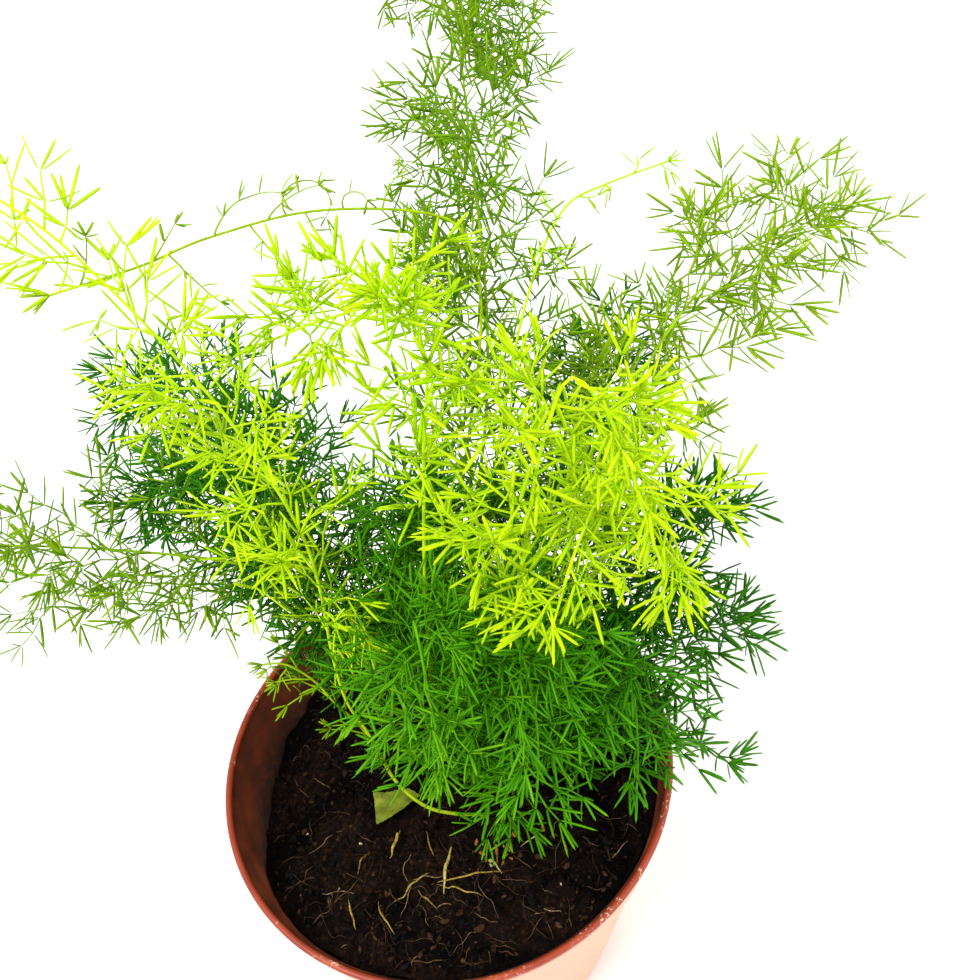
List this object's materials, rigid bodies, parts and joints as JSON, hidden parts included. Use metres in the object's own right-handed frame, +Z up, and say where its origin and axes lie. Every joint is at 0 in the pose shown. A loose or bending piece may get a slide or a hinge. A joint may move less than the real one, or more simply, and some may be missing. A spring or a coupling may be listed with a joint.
{
  "type": "potted asparagus fern",
  "caption": "Asparagus fern with loose arching sprays of fine needles, growing in a round tapered plastic pot of soil.",
  "frame": {"origin": "middle of the flat underside of the pot", "axes": "+Z up along the pot's axis, -Y towards the side the plant is seen from, +X to its right"},
  "size_m": [0.3685, 0.3421, 0.3401],
  "materials": {
    "pot_plastic": "moulded terracotta-coloured plastic",
    "potting_mix": "crumbly damp potting mix with fine roots",
    "dry_leaf": "thin torn leaf",
    "dark_foliage": "older deep green needles",
    "mid_foliage": "grown olive-green needles",
    "bright_foliage": "young yellow-green needles"
  },
  "bodies": {
    "root": {"pot": "pot_plastic", "soil": "potting_mix", "leaf_scrap": "dry_leaf", "stem_tall_back": "mid_foliage", "stem_arching_left": "mid_foliage", "stem_near_left": "bright_foliage", "stem_low_left": "mid_foliage", "stem_left_low": "mid_foliage", "stem_left_dark": "dark_foliage", "stem_left_deep": "dark_foliage", "stem_centre_deep": "dark_foliage", "stem_right_high": "mid_foliage", "stem_pale_shoot": "bright_foliage", "stem_centre_bright": "bright_foliage", "stem_right_bright": "bright_foliage", "stem_loop_bright": "bright_foliage", "stem_right_dark": "dark_foliage", "stem_right_low": "dark_foliage", "stem_back_dark": "dark_foliage", "stem_over_rim": "dark_foliage", "stem_front_left": "dark_foliage", "stem_front_mid": "dark_foliage", "stem_front_low": "dark_foliage", "stem_front_right": "dark_foliage"}
  },
  "joints": []
}
